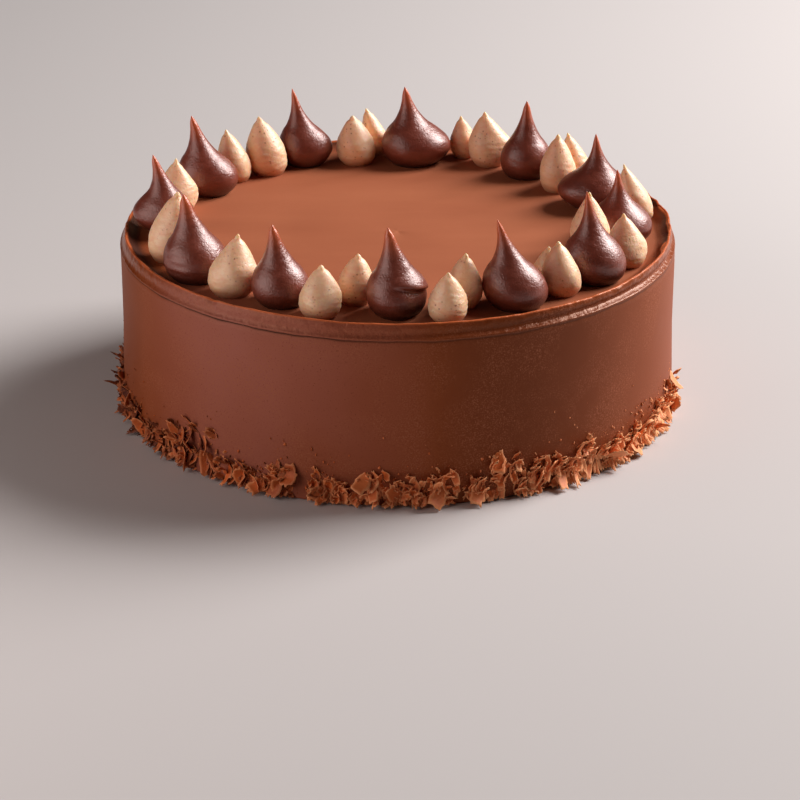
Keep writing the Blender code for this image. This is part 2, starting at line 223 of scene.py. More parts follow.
# Display colours, from 0 to 255
COLOURS = {
    # The top's colours are painted lighter than the wall's below, as if lit from above
    "top_dark": (163, 92, 63), "top_light": (173, 101, 70),
    # The wall's pinkish colour is a painted sheen at the left front, and the wall shade colour is painted
    # shade
    "wall_dark": (135, 63, 25), "wall_light": (136, 65, 32), "wall_painted_sheen": (160, 96, 85),
    "wall_shade": (84, 36, 18), "wall_speckle": (158, 92, 66), "wall_pore": (112, 54, 36),
    # The lip colour is a painted highlight along the lip's lit edge; the slope shade and crease colours are
    # painted shade
    "slope_shade": (58, 22, 11), "lip": (204, 104, 60), "crease": (26, 10, 7), "icing_gloss": (255, 198, 160),
    # The dark tip colour is a painted glow of light through the thin tips
    "dark_low": (114, 50, 34), "dark_high": (130, 60, 43), "dark_tip_glow": (212, 98, 48),
    # The foot colours, here and in the pale row below, are painted shade at the drops' feet
    "dark_foot_shade": (40, 14, 8), "dark_gloss": (255, 240, 238),
    "pale_low": (250, 192, 148), "pale_high": (255, 214, 176), "pale_foot_shade": (178, 104, 64),
    "pale_pit": (186, 122, 84),
    # The flakes' colours are chosen by a value that is partly their own tone and partly painted light from
    # the right
    "flake_dark": (74, 27, 12), "flake_rust": (204, 98, 42), "flake_tan": (234, 150, 100),
    # The flakes' edge colour is a painted highlight at their lit rims
    "flake_grain": (206, 112, 64), "flake_lit_edge": (244, 174, 122),
    "floor": (198, 193, 192),
}


# Mesh helpers

def lattice(rows, columns, wrap):
    """Corner numbers of a grid's four-sided faces. Rows run downwards and columns run anticlockwise,
    and wrap joins the last column to the first."""
    across = columns if wrap else columns - 1
    row, column = np.meshgrid(np.arange(rows - 1), np.arange(across), indexing="ij")
    beside = (column + 1) % columns
    corners = [row * columns + column, (row + 1) * columns + column,
               (row + 1) * columns + beside, row * columns + beside]
    return np.stack(corners, axis=-1).reshape(-1, 4)


def put_mesh(name, points, face_sets, attributes):
    """A mesh object from an array of points, arrays of faces and named values for each point."""
    mesh = bpy.data.meshes.new(name)
    corners = np.concatenate([faces.ravel() for faces in face_sets]).astype(np.int32)
    totals = np.concatenate([np.full(len(faces), faces.shape[1]) for faces in face_sets]).astype(np.int32)
    starts = (np.cumsum(totals) - totals).astype(np.int32)
    mesh.vertices.add(len(points))
    mesh.vertices.foreach_set("co", np.ascontiguousarray(points, np.float32).ravel())
    mesh.loops.add(len(corners))
    mesh.loops.foreach_set("vertex_index", corners)
    mesh.polygons.add(len(totals))
    mesh.polygons.foreach_set("loop_start", starts)
    mesh.polygons.foreach_set("loop_total", totals)
    for label, values in attributes.items():
        layer = mesh.attributes.new(label, "FLOAT", "POINT")
        layer.data.foreach_set("value", np.ascontiguousarray(values, np.float32).ravel())
    mesh.update(calc_edges=True)
    mesh.validate()
    mesh.shade_smooth()
    piece = bpy.data.objects.new(name, mesh)
    bpy.context.scene.collection.objects.link(piece)
    return piece


def turned_piece(name, points, attributes):
    """A closed round piece from rows of rings, top to bottom: the first and last rings close on their
    own middles."""
    rows, columns = points.shape[:2]
    flat = points.reshape(-1, 3)
    poles = np.stack([points[0].mean(axis=0), points[-1].mean(axis=0)])
    top_pole, low_pole = rows * columns, rows * columns + 1
    column = np.arange(columns)
    beside = (column + 1) % columns
    last = (rows - 1) * columns
    top_fan = np.stack([np.full(columns, top_pole), column, beside], axis=-1)
    low_fan = np.stack([np.full(columns, low_pole), last + beside, last + column], axis=-1)
    filled = {}
    for label, values in attributes.items():
        ends = [values[0].mean(), values[-1].mean()]
        filled[label] = np.concatenate([values.ravel(), ends])
    faces = [lattice(rows, columns, True), top_fan, low_fan]
    return put_mesh(name, np.concatenate([flat, poles]), faces, filled)


def smooth_through(knots, at):
    """A smooth curve through (place, value) knots: cubics whose slope at a knot is that of the line
    between its neighbours."""
    places = np.array([knot[0] for knot in knots], float)
    values = np.array([knot[1] for knot in knots], float)
    slopes = np.gradient(values, places)
    span = np.clip(np.searchsorted(places, at, side="right") - 1, 0, len(places) - 2)
    width = places[span + 1] - places[span]
    share = np.clip((at - places[span]) / width, 0, 1)
    start = values[span] * (1 + 2 * share) * (1 - share) ** 2
    start = start + values[span + 1] * share ** 2 * (3 - 2 * share)
    bend = slopes[span] * share * (1 - share) ** 2 - slopes[span + 1] * share ** 2 * (1 - share)
    return start + bend * width


def waves_over(angle, level, waves):
    """A sum of sine waves over a turned surface. Each wave is (waves a turn, waves up the side, size,
    start in degrees)."""
    total = 0
    for around, up, size, start in waves:
        total = total + size * np.sin(around * angle + 2 * math.pi * up * level + math.radians(start))
    return total


def bump_at(angle, centre, spread):
    """A smooth hump of height one at a centre azimuth, falling off over a spread, both in degrees."""
    turn = (np.degrees(angle) - centre + 180) % 360 - 180
    return np.exp(-(turn / spread) ** 2)


# Iced body

def down_rings(first, last, rows):
    """Evenly spaced values down the rings of a stretch, as one column."""
    return np.linspace(first, last, rows)[:, None]


def crease_depth(angle):
    """How far the wall steps in under the ridge at an angle, most at the left front."""
    return CREASE_DEPTH * (0.35 + 1.45 * bump_at(angle, *DEEP_CREASE))


def top_stretch(angle):
    """The flat top from near its middle to the foot of the slope, with the faint swell that a palette
    knife leaves."""
    share = down_rings(0.01, 1, TOP_ROWS)
    swell = waves_over(angle, share, TOP_SWELL)
    return SLOPE_FOOT * share + 0 * angle, TOP_HEIGHT + swell * (1 - share ** 6)


def slope_stretch(angle):
    """The hollow slope that rises from the top to the lip, as a parabola, lumpy at the right."""
    share = down_rings(0.08, 0.97, SLOPE_ROWS)
    radius = LIP_INNER - SLOPE_WIDTH * (1 - share) + 0 * angle
    lumps = waves_over(angle, share, SLOPE_LUMPS) * share * (0.3 + 3.0 * bump_at(angle, *LUMPY_SLOPE))
    return radius - lumps, TOP_HEIGHT + share ** 2 * (LIP_HEIGHT - TOP_HEIGHT) + lumps * 0.4


def lip_stretch(angle):
    """The lip's rounded edge: half a turn of a flattened round, from its inner to its outer side."""
    turn = down_rings(0.95, 0.05, LIP_ROWS) * math.pi
    radius = LIP_OUTER - LIP_WIDTH / 2 + LIP_WIDTH / 2 * np.cos(turn) + 0 * angle
    return radius, LIP_HEIGHT - LIP_ROUND + LIP_ROUND * np.sin(turn) + 0 * angle


def band_stretch(angle):
    """The band under the lip, leaning out to the ridge, and hollowed like a cove, most at the right
    front."""
    share = down_rings(0.04, 1, BAND_ROWS)
    radius = LIP_OUTER + LIP_INSET * share ** 0.9 + 0 * angle
    cove = 0.45 * MM + 0.95 * MM * bump_at(angle, *RIGHT_COVE) + 0.1 * MM * bump_at(angle, *LEFT_COVE)
    radius = radius - cove * np.sin(math.pi * share ** 2.2) ** 1.1
    height = (LIP_HEIGHT - 0.45 * MM) * (1 - share) + (RIDGE_HEIGHT + 0.25 * MM) * share + 0 * angle
    return radius, height


def ridge_stretch(angle):
    """The ridge's rounded edge and the crease tucked under it, with small kinks, deepest at the left
    front."""
    share = down_rings(0.08, 1, RIDGE_ROWS)
    tuck = smooth_through(CREASE_PROFILE, share)
    kinks = waves_over(angle, share, RIDGE_KINKS) * np.sin(math.pi * share)
    return BODY_RADIUS - crease_depth(angle) * tuck, RIDGE_HEIGHT + 0.2 * MM - RIDGE_DROP * share + kinks


def wall_radius(height):
    """The wall's radius at a height: straight, flaring in its lower half."""
    return BODY_RADIUS + FOOT_FLARE * np.clip(1 - height / (TOP_HEIGHT / 2), 0, 1)


def wall_stretch(angle):
    """The wall from under the crease to its foot, with the long shallow hollows that a scraper leaves."""
    height = down_rings(RIDGE_HEIGHT - RIDGE_DROP - 0.2 * MM, 1.2 * MM, WALL_ROWS)
    share = height / RIDGE_HEIGHT
    tuck = crease_depth(angle) * 0.3 * np.clip((share - 0.62) / 0.33, 0, 1)
    hollows = waves_over(angle, share, WALL_HOLLOWS) * np.clip((0.97 - share) * 12, 0, 1)
    return wall_radius(height) - tuck + hollows, height + 0 * angle


def foot_stretch(angle):
    """The wall's small rounded foot and the flat base."""
    turn = down_rings(0.1, 1, 4) * math.pi / 2
    edge = 1.0 * MM
    radius = BODY_RADIUS + FOOT_FLARE - edge + edge * np.cos(turn) + 0 * angle
    height = edge - edge * np.sin(turn) + 0 * angle
    inward = np.array([0.97, 0.6, 0.1])[:, None]
    return (np.concatenate([radius, inward * BODY_RADIUS + 0 * angle]),
            np.concatenate([height, 0 * inward + 0 * angle]))


STRETCHES = [top_stretch, slope_stretch, lip_stretch, band_stretch, ridge_stretch, wall_stretch, foot_stretch]


def over_stretches(values, parts):
    """A value, or a column of values, for each stretch, spread over all points of the body."""
    return np.concatenate([value + 0 * part[0] for value, part in zip(values, parts)])


def body_marks(angle, height, parts):
    """Values that mark features for the material: the thin lip, for its painted highlight; the crease, for
    painted shade; the dull top, painted lighter than the wall as if lit from above, with painted shade at its
    edge and, below 0, on the slope; the rough rim; and the wall's painted sheen, below 0 its painted shade."""
    # Painted highlight along the lip's lit edge
    lip = np.exp(-((height - LIP_HEIGHT) / (0.42 * MM)) ** 2)
    # Painted shade in the crease under the ridge, most at the left front
    crease_shading = np.exp(-((down_rings(0.08, 1, RIDGE_ROWS) - 0.34) / 0.13) ** 2)
    crease_shading = crease_shading * (0.4 + 0.6 * bump_at(angle, *SHADED_CREASE))
    # Dull top, painted lighter than the wall as if lit from above; painted shade at its edge and on the slope
    near_slope = np.clip((down_rings(0.01, 1, TOP_ROWS) - 0.93) / 0.07, 0, 1)
    on_top = 1 - (0.35 + 1.0 * bump_at(angle, *SHADED_TOP)) * near_slope
    on_slope = down_rings(0.45, -0.6, SLOPE_ROWS) - 0.9 * bump_at(angle, *SHADED_SLOPE)
    # A painted sheen on the wall at the left front, and painted shade at the front right and the left
    shade = 0.85 * bump_at(angle, *FRONT_SHADE) + 0.5 * bump_at(angle, *LEFT_SHADE)
    return {"lip": lip,
            "crease": over_stretches([0, 0, 0, 0, crease_shading, 0, 0], parts),
            "matte": over_stretches([on_top, on_slope, 0, 0, 0, 0, 0], parts),
            "rim": over_stretches([0, down_rings(0.0, 0.4, SLOPE_ROWS), 1.0, 1.0, 0.2, 0, 0], parts),
            "painted_sheen_and_shade": bump_at(angle, *WALL_SHEEN) - shade + 0 * height}


def body_points():
    """The whole iced surface as rows of rings, with the lip's waves, bulge and nick added to what lies
    above the ridge, and its marks."""
    angle = np.linspace(0, 2 * math.pi, BODY_COLUMNS, endpoint=False)[None, :]
    parts = [stretch(angle) for stretch in STRETCHES]
    radius = np.concatenate([part[0] for part in parts])
    height = np.concatenate([part[1] for part in parts])
    near_lip = np.clip((height - RIDGE_HEIGHT) / (LIP_HEIGHT - RIDGE_HEIGHT), 0, 1)
    near_lip = near_lip * (radius > SLOPE_FOOT + SLOPE_WIDTH / 2)
    fine = waves_over(angle, height / (9 * MM), RIM_WAVES) * (1 + bump_at(angle, *ROUGH_RIM))
    bulge = 0.5 * MM * bump_at(angle, *RIM_BULGE) - 0.35 * MM * bump_at(angle, *RIM_DIP)
    nick = -0.7 * MM * bump_at(angle, *LIP_NICK)
    wave = (waves_over(angle, 0, LIP_WAVES) + fine + bulge + nick) * near_lip
    spread = radius + wave
    points = np.stack([spread * np.cos(angle), spread * np.sin(angle), height + wave], axis=-1)
    return points, body_marks(angle, height, parts)


def make_icing(material):
    """The iced body, closed, in place of the solid cake."""
    points, values = body_points()
    icing = turned_piece("icing", points, values)
    icing.data.materials.append(material)
    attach(icing, ROOT)
    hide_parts("cake")


# Piped drops

def node_points(node):
    """A solid's points as an array."""
    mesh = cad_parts[node].data
    points = np.empty(len(mesh.vertices) * 3, np.float32)
    mesh.vertices.foreach_get("co", points)
    return points.reshape(-1, 3).astype(float)


def drop_facts(node):
    """A solid drop's place, height and lean, and the radius of each of its rings: the plain one, and the
    ones towards the right and the left, where a flank may swell."""
    points = node_points(node)
    low, top = points[:, 2].min(), points[:, 2].max()
    levels = np.unique(np.round((points[:, 2] - low) / (top - low), 3))
    foot = points[points[:, 2] < low + 0.01 * MM]
    centre = (foot[:, :2].min(axis=0) + foot[:, :2].max(axis=0)) / 2
    lean = points[np.argmax(points[:, 2]), :2] - centre
    rings = []
    for level in levels[:-1]:
        ring = points[np.abs((points[:, 2] - low) / (top - low) - level) < 0.002]
        offset = ring[:, :2] - centre - lean * level ** LEAN_POWER
        far = offset[np.hypot(offset[:, 0], offset[:, 1]) > 0.1 * MM]
        plain = np.hypot(far[:, 0], far[:, 1]).min()
        rings.append((level, plain, far[:, 0].max(), -far[:, 0].min()))
    rings.append((1.0, TIP_RADIUS, TIP_RADIUS, TIP_RADIUS))
    return dict(centre=centre, height=top - low, lean=lean, rings=np.array(rings))


def drop_points(facts, wobble, wrinkles, folds, nib):
    """A drop as rows of rings from its tip down: a smooth curve through the solid's radii, swollen at the
    right and left as the solid is, drawn in under a small nib, with a slight wobble, faint wrinkles low
    down, any folds, and the whole leaned."""
    level = (1 - np.linspace(0, 1, DROP_ROWS) ** 1.2)[:, None]
    angle = np.linspace(0, 2 * math.pi, DROP_COLUMNS, endpoint=False)[None, :]
    plain, right, left = [smooth_through(facts["rings"][:, [0, side]], level) for side in (1, 2, 3)]
    radius = plain + np.clip(np.cos(angle), 0, 1) ** 2 * (right - plain)
    radius = radius + np.clip(-np.cos(angle), 0, 1) ** 2 * (left - plain)
    radius = radius * (1 + waves_over(angle, level, wobble) * np.clip(level / 0.1, 0, 1))
    radius = radius * (1 - nib * np.exp(-((level - NIB_LEVEL) / NIB_SPREAD) ** 2))
    low_down = np.clip((WRINKLE_TOP - level) * 3, 0, 1) * np.clip(level / 0.05, 0, 1)
    radius = radius + waves_over(angle, level, wrinkles) * low_down
    folded = sum([fold_depth(angle, level, fold) for fold in folds], 0 * radius)
    radius = radius - folded
    x = facts["centre"][0] + radius * np.cos(angle) + facts["lean"][0] * level ** LEAN_POWER
    y = facts["centre"][1] + radius * np.sin(angle) + facts["lean"][1] * level ** LEAN_POWER
    z = TOP_HEIGHT - FOOT_SINK + level * (facts["height"] + FOOT_SINK + TIP_REACH) + 0 * angle
    points = np.stack([x, y, z], axis=-1)
    # Painted glow of light through the thin tip
    tip = np.clip((level - TIP_GLOW_START) / (1 - TIP_GLOW_START), 0, 1) ** 1.3 + 0 * angle
    # Painted shade at the foot and under any fold
    foot = np.clip(1 - level / FOOT_SHADE_TOP + 0.22 * folded / MM, 0, 1)
    return points, {"tip": tip, "foot": foot}


def fold_depth(angle, level, fold):
    """A fold in one flank: below a slanting line the cream steps in, and the step fades round the drop
    and towards the foot."""
    line = fold["level"] + fold["slant"] * np.sin(angle - math.radians(fold["side"]))
    below = 1 / (1 + np.exp((level - line) / FOLD_EDGE))
    fade = np.exp(-np.clip(line - level, 0, 1) / fold["fade"])
    return fold["depth"] * below * fade * bump_at(angle, fold["side"], fold["round"])


def drop_wobble(number, size):
    """Slow waves that make each drop slightly out of round, started differently for each number."""
    return [(2, 0.6, size, 70 * number), (3, 1.1, 0.6 * size, 130 * number),
            (5, 1.7, 0.3 * size, 200 * number)]


def drop_wrinkles(number, size):
    """Uneven wrinkles round a drop: slanted waves that meet and part, drawn afresh for each number."""
    rng = np.random.default_rng(number)
    return [(turns, rng.uniform(3, 12), size * rng.uniform(0.4, 1), rng.uniform(0, 360))
            for turns in (-6, -4, -3, -1, 2, 3, 5, 8)]


def make_drops(materials):
    """Every drop, in place of its solid."""
    for shade, family in DROP_FAMILIES.items():
        for number in range(1, family["count"] + 1):
            node = f"{shade}_drop_{number:02d}"
            wobble = drop_wobble(number, family["wobble"])
            wrinkles = drop_wrinkles(number, family["wrinkle"])
            folds = FOLDS.get(node, [])
            points, values = drop_points(drop_facts(node), wobble, wrinkles, folds, family["nib"])
            piece = turned_piece(f"{shade}_cream_{number:02d}", points, values)
            piece.data.materials.append(materials[shade])
            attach(piece, ROOT)
            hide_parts(node)


# Flakes, shavings and crumbs

def clump_list(rng):
    """Every clump round the foot, the back half's worked out from the front's pattern."""
    clumps = list(FRONT_CLUMPS)
    for number in range(BACK_CLUMP_COUNT):
        share = (number + 0.5) / BACK_CLUMP_COUNT
        azimuth = BACK_START + (BACK_END - BACK_START) * share + rng.uniform(-2, 2)
        mix = BACK_CLUMP_MIXES[number % len(BACK_CLUMP_MIXES)]
        clumps.append((azimuth, BACK_CLUMP_SPREAD, rng.uniform(10, 19), mix))
    return clumps


def small_clumps():
    """The clumps that shavings and crumbs fill out: the flakes' own, and lower ones in the gaps at the
    back."""
    clumps = np.array([clump[:3] for clump in clump_list(np.random.default_rng(FLAKE_SEED))])
    back = clumps[clumps[:, 0] < BACK_END + BACK_CLUMP_SPREAD]
    gap = (BACK_END - BACK_START) / BACK_CLUMP_COUNT / 2
    return np.concatenate([clumps, back * (1, 1, LOW_CLUMP_SHARE) + (gap, 0, 0)])


def flake_draws():
    """Each flake's clump and seven draws, in the solid's own order, sorted by shape."""
    rng = np.random.default_rng(FLAKE_SEED)
    families = {shape: [] for shape in FLAKE_SHAPES}
    for azimuth, spread, height, letters in clump_list(rng):
        for letter in letters:
            families[FLAKE_LETTERS[letter]].append([azimuth, spread, height, *rng.random(7)])
    return {shape: np.array(rows) for shape, rows in families.items()}


def between(limits, draw):
    """The value at a draw from 0 to 1 between two limits."""
    return limits[0] + draw * (limits[1] - limits[0])


def flake_turns(azimuth, roll, lean, side_lean):
    """Turns of flakes that stand on the wall, as one matrix each: length up, width along the wall and
    face outwards, then rolled in the wall's plane and leaned off it about the width and the length."""
    a, r, p, s = (np.radians(value) for value in (azimuth, roll, lean, side_lean))
    zero, one = np.zeros_like(a), np.ones_like(a)
    on_wall = np.stack([zero, -np.sin(a), np.cos(a), zero, np.cos(a), np.sin(a), one, zero, zero], -1)
    rolled = np.stack([np.cos(r), -np.sin(r), zero, np.sin(r), np.cos(r), zero, zero, zero, one], -1)
    leaned = np.stack([np.cos(p), zero, np.sin(p), zero, one, zero, -np.sin(p), zero, np.cos(p)], -1)
    tipped = np.stack([one, zero, zero, zero, np.cos(s), -np.sin(s), zero, np.sin(s), np.cos(s)], -1)
    turns = [matrix.reshape(-1, 3, 3) for matrix in (on_wall, rolled, leaned, tipped)]
    return turns[0] @ turns[1] @ turns[2] @ turns[3]


def bent_sheets(length, width, bend, shares, rows, columns):
    """Middle surfaces of flakes: rows along the length, each as wide as its share, rolled into an arc."""
    along = np.linspace(-0.5, 0.5, rows)
    across = np.linspace(-0.5, 0.5, columns)
    share = np.interp(along, np.linspace(-0.5, 0.5, len(shares)), shares)
    turn = along[None, :, None] * bend + 0 * across
    arc = (length / bend)[:, None, None]
    x = arc * np.sin(turn)
    y = width[:, None, None] * share[None, :, None] * across
    z = arc * (1 - np.cos(turn))
    return np.stack([x + 0 * y, y + 0 * x, z + 0 * y], axis=-1)


def sheets_to_wall(sheets, guide, turns, azimuth, height, thickness):
    """Turn sheets and move them so that the inner edge of each one's guide sheet is sunk in the wall."""
    outward = np.stack([np.cos(np.radians(azimuth)), np.sin(np.radians(azimuth)), 0 * azimuth], axis=-1)
    placed = np.einsum("nij,nrcj->nrci", turns, sheets)
    guided = np.einsum("nij,nrcj->nrci", turns, guide)
    depth = np.einsum("nrci,ni->nrc", guided, outward)
    nearest = depth.min(axis=(1, 2))
    spread = depth.max(axis=(1, 2)) - nearest
    sunk = np.minimum(FLAKE_DEPTH, FLAKE_DEPTH_SHARE * (spread + thickness))
    lowest = guided[..., 2].min(axis=(1, 2))
    height = np.maximum(height, FLAKE_FLOOR + thickness / 2 - lowest)
    shift = outward * (wall_radius(height) - sunk - nearest + thickness / 2)[:, None]
    shift[:, 2] += height
    return placed + shift[:, None, None, :]


def ragged(sheets, rng, size):
    """Break a flake's outline: each point of its rim moves in or out by a draw, and its face crinkles."""
    count, rows, columns = sheets.shape[:3]
    middle = sheets.mean(axis=(1, 2), keepdims=True)
    rim = np.zeros((rows, columns))
    rim[[0, -1], :] = 1
    rim[:, [0, -1]] = 1
    push = rng.normal(0, size, (count, rows, columns)) * rim
    torn = sheets + (sheets - middle) * push[..., None]
    torn[..., 2] += rng.normal(0, CRINKLE, (count, rows, columns))
    return torn


def thin_solids(sheets, thickness):
    """Closed thin solids round sheets: the sheet moved out and in along its normal, thinner at the rim,
    joined round the rim."""
    count, rows, columns = sheets.shape[:3]
    down = np.gradient(sheets, axis=1)
    side = np.gradient(sheets, axis=2)
    normal = np.cross(down, side)
    normal /= np.linalg.norm(normal, axis=-1, keepdims=True) + 1e-12
    half = np.full((rows, columns), thickness / 2)
    half[[0, -1], :] *= RIM_THINNESS
    half[:, [0, -1]] *= RIM_THINNESS
    offset = normal * half[None, :, :, None]
    sides = [(sheets + offset).reshape(count, -1, 3), (sheets - offset).reshape(count, -1, 3)]
    points = np.concatenate(sides, axis=1)
    grid = np.arange(rows * columns).reshape(rows, columns)
    rim = np.concatenate([grid[0, :], grid[1:, -1], grid[-1, -2::-1], grid[-2:0:-1, 0]])
    ahead = np.roll(rim, -1)
    lower = rows * columns
    front = lattice(rows, columns, False)
    back = front[:, ::-1] + lower
    walls = np.stack([rim, ahead, ahead + lower, rim + lower], axis=-1)
    faces = np.concatenate([front, back, walls])
    starts = np.arange(count)[:, None, None] * 2 * lower
    edge = np.zeros(rows * columns)
    edge[rim] = 1
    return points.reshape(-1, 3), (faces[None] + starts).reshape(-1, 4), np.tile(edge, 2 * count)


def flake_tones_and_light(azimuth, rng):
    """How light each flake is, from 0 to 1: a draw for its own tone, with painted light that makes it darker
    towards the left and lighter towards the right."""
    # Painted light: lighter towards the right, where the light falls, and darker towards the left
    middle = TONE_MIDDLE + SIDE_LIGHT_TO_RIGHT * np.cos(np.radians(azimuth))
    return np.clip(middle + TONE_SPREAD * (rng.random(len(azimuth)) - 0.5), 0, 1)


def flake_piece(name, sheets, thickness, azimuth, rng, material):
    """One piece of many flakes, each with its own tone and painted side light, in place of the solid's
    flakes.
    """
    points, faces, edge = thin_solids(sheets, thickness)
    tone_and_side_light = np.repeat(flake_tones_and_light(azimuth, rng), len(points) // len(sheets))
    piece = put_mesh(name, points, [faces], {"tone_and_side_light": tone_and_side_light, "edge": edge})
    piece.data.materials.append(material)
    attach(piece, ROOT)
    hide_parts("cake")


def make_flakes(material):
    """The solid's own flakes, made fine: one piece for each shape."""
    rng = np.random.default_rng(SHAVING_SEED)
    for shape, draws in flake_draws().items():
        size = FLAKE_SHAPES[shape]
        azimuth, spread, height = draws[:, 0], draws[:, 1], draws[:, 2]
        draw = draws[:, 3:].T
        length = between(size["lengths"], draw[0]) * MM
        width = between(size["widths"], draw[1]) * MM
        place = azimuth + spread * (2 * draw[2] - 1)
        centre = draw[3] ** LOW_FLAKE_POWER * np.maximum(height * MM - length / 2, 2 * MM)
        side = np.where(draw[5] < TOP_OUTWARD_SHARE, -1, 1)
        roll = between((-FLAKE_MOST_ROLL, FLAKE_MOST_ROLL), draw[6])
        lean = side * between(size["leans"], draw[4])
        turns = flake_turns(place, roll, lean, FLAKE_SIDE_LEAN * (draw[5] - 0.5))
        bend = math.radians(size["bend"])
        guide = bent_sheets(length, width, bend, size["shares"], len(size["shares"]), 2)
        rows, columns = FLAKE_GRIDS[shape]
        fine = ragged(bent_sheets(length, width, bend, size["shares"], rows, columns), rng, FLAKE_TORN)
        sheets = sheets_to_wall(fine, guide, turns, place, centre, FLAKE_SOLID_THICKNESS)
        flake_piece(shape + "_flakes", sheets, FLAKE_THICKNESS, place, rng, material)


def make_shavings(material):
    """Small chips, threads and strips that fill the clumps out, drawn afresh for each clump. At the right
    front there are fewer chips and more strips."""
    rng = np.random.default_rng(SHAVING_SEED + 1)
    clumps = small_clumps()
    for kind, size in SHAVING_KINDS.items():
        at_right = bump_at(np.radians(clumps[:, 0]), *RIGHT_FRONT)
        counts = np.round(size["count"] * (1 + size["more_right"] * at_right)).astype(int)
        many = np.repeat(clumps, counts, axis=0)
        draw = rng.random((7, len(many)))
        length = between(size["lengths"], draw[0]) * MM
        width = between(size["widths"], draw[1]) * MM
        place = many[:, 0] + size["wide"] * many[:, 1] * (2 * draw[2] - 1)
        centre = draw[3] ** size["low"] * np.maximum(many[:, 2] * MM - length / 2, 1.5 * MM)
        side = np.where(draw[5] < TOP_OUTWARD_SHARE, -1, 1)
        lean = side * between(size["leans"], draw[4])
        roll = 2 * size["roll"] * (draw[6] - 0.5)
        turns = flake_turns(place, roll, lean, SHAVING_SIDE_LEAN * (draw[5] - 0.5))
        bend = math.radians(size["bend"])
        sheets = ragged(bent_sheets(length, width, bend, size["shares"], *size["grid"]), rng, size["torn"])
        placed = sheets_to_wall(sheets, sheets, turns, place, centre, SHAVING_THICKNESS)
        flake_piece(kind + "_shavings", placed, SHAVING_THICKNESS, place, rng, material)


def crumb_rounds(count, rng):
    """Small lumpy rounds about the origin, each of a few rings with a pole at either end."""
    level = np.linspace(0.12, 0.88, CRUMB_ROWS)[:, None] * math.pi
    angle = np.linspace(0, 2 * math.pi, CRUMB_COLUMNS, endpoint=False)[None, :]
    around = np.sin(level)
    ball = np.stack([around * np.cos(angle), around * np.sin(angle), np.cos(level) + 0 * angle], -1)
    lumps = 1 + rng.normal(0, CRUMB_LUMPS, (count, CRUMB_ROWS, CRUMB_COLUMNS, 1))
    return ball[None] * lumps * rng.uniform(0.6, 1.3, (count, 1, 1, 3))


def make_crumbs(material):
    """Tiny crumbs stuck to the wall in and above the clumps, as one piece."""
    rng = np.random.default_rng(CRUMB_SEED)
    many = np.repeat(small_clumps(), CRUMBS_IN_CLUMP, axis=0)
    count = len(many)
    place = np.radians(many[:, 0] + rng.normal(0, 0.9, count) * many[:, 1])
    height = np.abs(rng.normal(0, 0.62, count)) * many[:, 2] * MM + 0.6 * MM
    size = between(CRUMB_SIZES, rng.random(count) ** 2) * MM
    middle = np.stack([np.cos(place), np.sin(place), 0 * place], -1) * wall_radius(height)[:, None]
    middle[:, 2] = np.maximum(height, size)
    rings = middle[:, None, None, :] + crumb_rounds(count, rng) * size[:, None, None, None]
    poles = rings[:, [0, -1]].mean(axis=2)
    points = np.concatenate([rings.reshape(count, -1, 3), poles], axis=1)
    top_pole = CRUMB_ROWS * CRUMB_COLUMNS
    in_crumb = top_pole + 2
    column = np.arange(CRUMB_COLUMNS)
    beside = (column + 1) % CRUMB_COLUMNS
    last = top_pole - CRUMB_COLUMNS
    top_fan = np.stack([np.full(CRUMB_COLUMNS, top_pole), column, beside], -1)
    low_fan = np.stack([np.full(CRUMB_COLUMNS, top_pole + 1), last + beside, last + column], -1)
    starts = np.arange(count)[:, None, None] * in_crumb
    quads = (lattice(CRUMB_ROWS, CRUMB_COLUMNS, True)[None] + starts).reshape(-1, 4)
    fans = (np.concatenate([top_fan, low_fan])[None] + starts).reshape(-1, 3)
    # The crumbs take the flakes' tone with its painted light from the right
    tone_and_side_light = np.repeat(flake_tones_and_light(many[:, 0], rng), in_crumb)
    crumbs = put_mesh("crumbs", points.reshape(-1, 3), [quads, fans], {"tone_and_side_light": tone_and_side_light, "edge": 0 * tone_and_side_light})
    crumbs.data.materials.append(material)
    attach(crumbs, ROOT)


# Materials

def new_material(name):
    """An empty node material: its tree, its shader and a function that adds a node with settings."""
    material = bpy.data.materials.new(name)
    material.use_nodes = True
    tree = material.node_tree
    shader = tree.nodes["Principled BSDF"]

    def add(kind, inputs=None, **settings):
        node = tree.nodes.new(kind)
        for key, value in settings.items():
            setattr(node, key, value)
        for key, value in (inputs or {}).items():
            if isinstance(value, bpy.types.NodeSocket):
                tree.links.new(value, node.inputs[key])
            else:
                node.inputs[key].default_value = value
        return node

    return material, tree, shader, add


def colour(name):
    """A named display colour as linear light, which the shader works in."""
    shares = [value / 255 for value in COLOURS[name]]
    linear = [share / 12.92 if share <= 0.04045 else ((share + 0.055) / 1.055) ** 2.4 for share in shares]
    return (*linear, 1)


def mix_colour(add, factor, first, second):
    """A colour between two, by a factor. Each is a colour's name or a node's output."""
    node = add("ShaderNodeMix", data_type="RGBA")
    for socket, value in ((node.inputs[0], factor), (node.inputs[6], first), (node.inputs[7], second)):
        if isinstance(value, bpy.types.NodeSocket):
            node.id_data.links.new(value, socket)
        else:
            socket.default_value = colour(value)
    return node.outputs[2]


def ramp(add, value, low, high):
    """A value spread from 0 at low to 1 at high."""
    node = add("ShaderNodeMapRange", {"Value": value, "From Min": low, "From Max": high})
    return node.outputs["Result"]


def rescaled(add, value, low, high):
    """A value from 0 to 1 as one between low and high."""
    node = add("ShaderNodeMapRange", {"Value": value, "To Min": low, "To Max": high})
    return node.outputs["Result"]


def product(add, first, second):
    """The product of two values."""
    return add("ShaderNodeMath", {0: first, 1: second}, operation="MULTIPLY").outputs[0]


